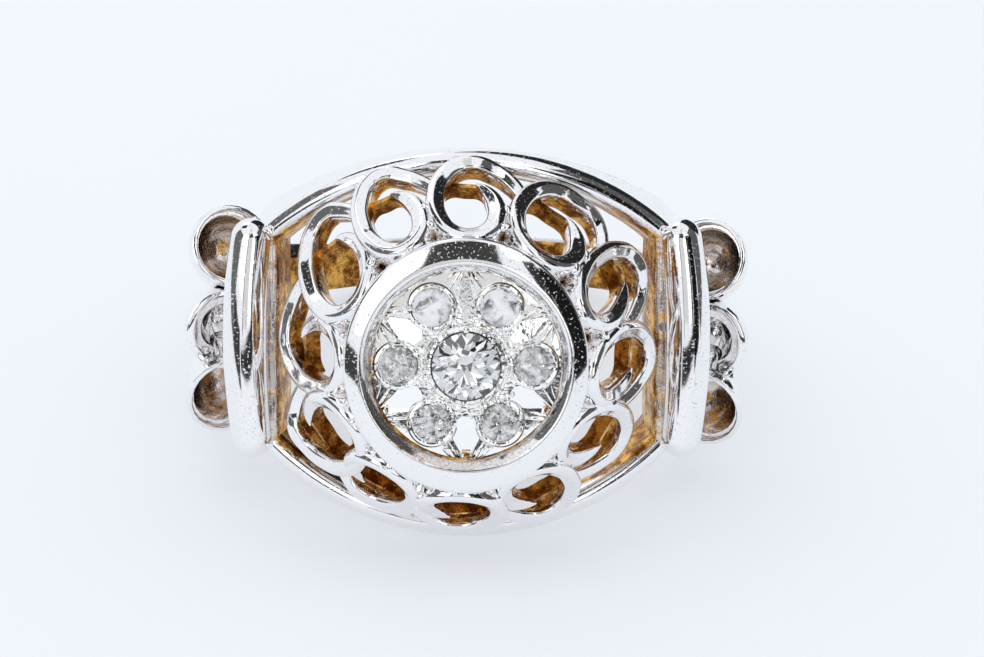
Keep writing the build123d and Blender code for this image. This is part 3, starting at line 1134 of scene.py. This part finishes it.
def makeBrilliant():
    shape = stoneShape
    girdle = shape["girdle"] / 2
    tableHeight = girdle + (1 - shape["table"]) * tan(radians(shape["crownSlope"]))
    tableEdge = shape["table"] * cos(radians(22.5))
    halfEdge = cos(radians(11.25))
    stone = activate(drum(1, 4, 96))
    editMode()
    cutFacet(0, 0, 0, tableHeight)
    for number in range(8):
        angle = 45 * number
        cutFacet(angle, shape["crownSlope"], 1, girdle)
        cutFacet(angle + 22.5, shape["starSlope"], tableEdge, tableHeight)
        cutFacet(angle, 180 - shape["backSlope"], 1, -girdle)
        for side in (-11.25, 11.25):
            cutFacet(angle + side, shape["upperSlope"], halfEdge, girdle)
            cutFacet(angle + side, 180 - shape["lowerSlope"], halfEdge, -girdle)
    objectMode()
    return outwardNormals(stone)


diamondLook = {
    "ior": 2.42, "roughness": 0.012,
    "clear": (1.0, 1.0, 1.0, 1), "veil": (0.93, 0.92, 0.92, 1), "veilIor": 1.6, "veilRoughness": 0.25,
}


def stoneFinish(name, cloudAndPaintedHighlight, shade):
    look = diamondLook
    finish = Finish(name)
    feather = finish.noise(1.9, 4.0, 0.6, 0.8)
    pinprick = finish.cells(11.0).between(0.16, 0.05)
    # a milky white layer, raised for milkier stones: cloudiness in the lower stones, a painted highlight in
    # the upper ones
    veil = feather.between(0.62 - cloudAndPaintedHighlight * 0.35, 0.95 - cloudAndPaintedHighlight * 0.35) * (0.25 + cloudAndPaintedHighlight) + pinprick * 0.25
    # the shade colour tints the clear body grey in patches: painted shade in the centre and lower stones
    clear = finish.shade({
        "Base Color": finish.blend(feather.between(0.3, 0.8), look["clear"], shade),
        "Transmission Weight": 1.0, "IOR": look["ior"], "Roughness": look["roughness"],
    })
    milky = finish.shade({
        "Base Color": finish.blend(feather, look["veil"], look["clear"]),
        "Roughness": look["veilRoughness"], "IOR": look["veilIor"],
    })
    surface = finish.node("ShaderNodeMixShader", None, {0: veil.between(0.0, 1.6), 1: clear, 2: milky})
    return finish.done(surface)


brilliant = makeBrilliant()
# the centre stone's clear body is tinted grey: painted shade
centrePaintedShadeMaterial = stoneFinish("diamond_clear_painted_shade", 0.0, (0.66, 0.7, 0.72, 1))
# the upper stones' strong milky white is a painted highlight
upperPaintedHighlightMaterial = stoneFinish("diamond_painted_highlight", 1.1, (1.0, 1.0, 1.0, 1))
# the lower stones: a milky cloudiness, and a grey body tint that is painted shade
lowerCloudAndShadeMaterial = stoneFinish("diamond_cloudy_painted_shade", 0.75, (0.8, 0.78, 0.76, 1))
plateTop = bezelShape["crown"] - plateShape["crownDrop"]


def setStone(name, node, radius, rise, across, along, turn, material):
    stone = duplicate(brilliant)
    place = Matrix.Translation((0, -plateTop, 0)) @ crownFacing @ Matrix.Translation((across, along, rise))
    placeBy(stone, place @ Matrix.Rotation(radians(turn), 4, "Z") @ Matrix.Scale(radius, 4))
    return finishPiece(stone, name, material, node, 1)


setStone("centre_brilliant", "centre_stone", 1.295, plateShape["centreRise"], 0, 0, 8, centrePaintedShadeMaterial)
for number in range(6):
    across, along = sidePlace(number)
    material = upperPaintedHighlightMaterial if number in (1, 2) else lowerCloudAndShadeMaterial  # the two upper stones are the whitest, a painted highlight; the other four carry painted shade
    setStone(
        f"side_brilliant_{number + 1}", f"side_stone_{number + 1}", 0.727, plateShape["sideRise"],
        across, along, 13 * number, material
    )
bpy.data.objects.remove(brilliant)
print("stones set")


# Stage: pale seamless surface, soft light, and studio cards that only the polish sees

stageLook = {
    "floor": (0.5, 0.51, 0.52, 1), "floorMottle": (0.49, 0.502, 0.515, 1),
    "floorGlow": (0.908, 0.947, 1.0, 1), "floorGlowStrength": 0.46,
    "world": (0.92, 0.95, 1.0, 1), "worldStrength": 1.0,
    "lightPower": 0.06, "lightSize": 0.22, "lightPlace": (-0.16, 0.24, 0.34), "cardReach": 0.26,
    # azimuth from and to, elevation from and to, brightness
    "cards": (
        ("card_horizon", -24, 62, 3.5, 9, 0.02),
        ("card_left_low", -60, -28, -5, 9, 0.05),
        ("card_right", 34, 60, 0, 40, 0.01),
        ("card_right_far", 60, 104, -6, 56, 0.10),
        ("card_left_far", -106, -58, -8, 40, 0.14),
        ("card_top", -18, 15, 36, 58, 0.05),
        ("card_top_seam", -18, 15, 60, 88, 0.7),
        ("card_back_right", 104, 176, 0, 57, 0.02),
        ("card_back_left", -136, -106, 42, 66, 0.04),
        ("card_window_left", -52, -18, 15, 47, 1.5),
        ("card_window_middle", -13, 8, 11, 34, 0.7),
        ("card_window_right", 10, 25, 11, 33, 1.5),
        ("card_window_high", 17, 40, 42, 62, 1.5),
        ("card_post_left", -17, -14, 9, 36, 0.02),
        ("card_post_right", 26, 33, 9, 44, 0.03),
    ),
}


def makeCard(name, left, right, low, high, brightness):
    look = stageLook
    reach = look["cardReach"]
    azimuth = radians((left + right) / 2)
    elevation = radians((low + high) / 2)
    away = Vector((sin(azimuth) * cos(elevation), -cos(azimuth) * cos(elevation), sin(elevation)))
    width = 2 * reach * tan(radians(right - left) / 2) * cos(elevation)
    height = 2 * reach * tan(radians(high - low) / 2)
    deselectAll()
    bpy.ops.mesh.primitive_plane_add(size=1)
    card = bpy.context.object
    card.name = name
    card.scale = (width, height, 1)
    card.rotation_mode = "QUATERNION"
    card.rotation_quaternion = (-away).to_track_quat("Z", "Y")
    card.location = Vector((0, -0.004, 0.009)) + away * reach
    paint = Finish(name)
    glow = paint.node("ShaderNodeEmission", None, {"Color": (1, 1, 1, 1), "Strength": brightness})
    card.data.materials.append(paint.done(glow))
    card.visible_camera = False
    card.visible_diffuse = False
    card.visible_shadow = False


for row in stageLook["cards"]:
    makeCard(*row)


def makeFloor():
    deselectAll()
    bpy.ops.mesh.primitive_grid_add(x_subdivisions=24, y_subdivisions=24, size=4)
    floor = bpy.context.object
    floor.name = "floor"
    finish = Finish("floor_paper")
    mottle = finish.noise(0.03, 3.0, 0.5)
    fibre = finish.noise(2.0, 3.0, 0.6)
    tone = finish.blend(mottle.between(0.35, 0.65), stageLook["floor"], stageLook["floorMottle"])
    floor.data.materials.append(finish.done(finish.shade(
        {"Base Color": tone, "Roughness": 0.75, "Normal": finish.bump(fibre, 4e-6),
         "Emission Color": stageLook["floorGlow"], "Emission Strength": stageLook["floorGlowStrength"]}
    )))


makeFloor()
world = bpy.data.worlds.new("studio")
world.use_nodes = True
backdrop = world.node_tree.nodes["Background"]
backdrop.inputs["Color"].default_value = stageLook["world"]
backdrop.inputs["Strength"].default_value = stageLook["worldStrength"]
bpy.context.scene.world = world

deselectAll()
bpy.ops.object.light_add(type="AREA", location=stageLook["lightPlace"])
lamp = bpy.context.object
lamp.name = "window_light"
lamp.data.shape = "DISK"
lamp.data.size = stageLook["lightSize"]
lamp.data.energy = stageLook["lightPower"]
lamp.rotation_mode = "QUATERNION"
lamp.rotation_quaternion = (lamp.location - Vector((0, 0, 0.006))).to_track_quat("Z", "Y")

cameraLook = {"elevation": 31.4, "distance": 0.3, "right": 0.000985, "up": 0.001477, "lens": 289.76}
elevation = radians(cameraLook["elevation"])
target = ringToRow @ Vector((0, -bezelShape["crown"], 0))
back = Vector((0, -cos(elevation), sin(elevation)))
upward = Vector((0, sin(elevation), cos(elevation)))
deselectAll()
shift = Vector((cameraLook["right"], 0, 0)) + upward * cameraLook["up"]
bpy.ops.object.camera_add(
    location=target + back * cameraLook["distance"] + shift, rotation=(pi / 2 - elevation, 0, 0)
)
camera = bpy.context.object
camera.data.lens = cameraLook["lens"]
camera.data.sensor_width = 36
camera.data.clip_start = 0.01
bpy.context.scene.camera = camera
bpy.context.scene.view_settings.view_transform = "Standard"
print("stage ready")
